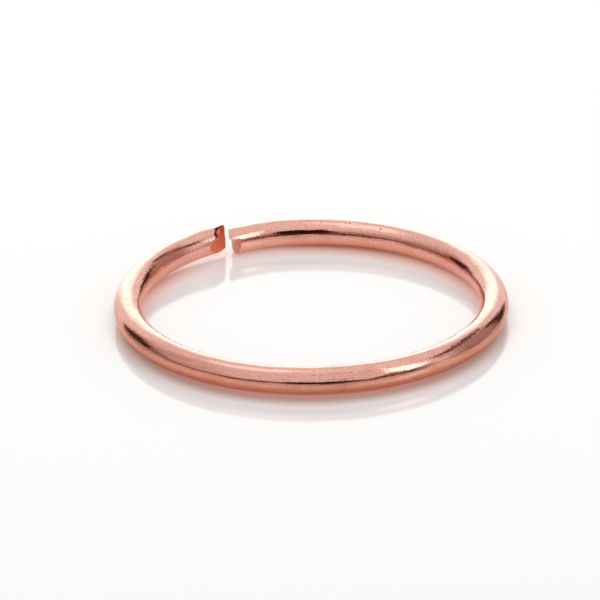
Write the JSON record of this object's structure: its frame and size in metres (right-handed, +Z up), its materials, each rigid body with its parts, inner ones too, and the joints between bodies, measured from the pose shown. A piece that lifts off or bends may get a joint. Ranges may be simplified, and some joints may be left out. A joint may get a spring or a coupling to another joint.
{
  "type": "helix hoop",
  "caption": "Plain hoop of round rose gold wire lying on its side, with a narrow gap between a square-cut end and a nipped end that stands slightly off the surface.",
  "frame": {"origin": "middle of the underside of the hoop's box, on the surface that the hoop lies on", "axes": "+Z up along the hoop's axis; seen from -Y, as in the picture, the gap is at the back and to the left"},
  "size_m": [0.0112, 0.0112, 0.001],
  "materials": {
    "rose_gold": "polished rose gold with fine scratches"
  },
  "bodies": {
    "root": {"hoop_wire": "rose_gold"}
  },
  "joints": []
}
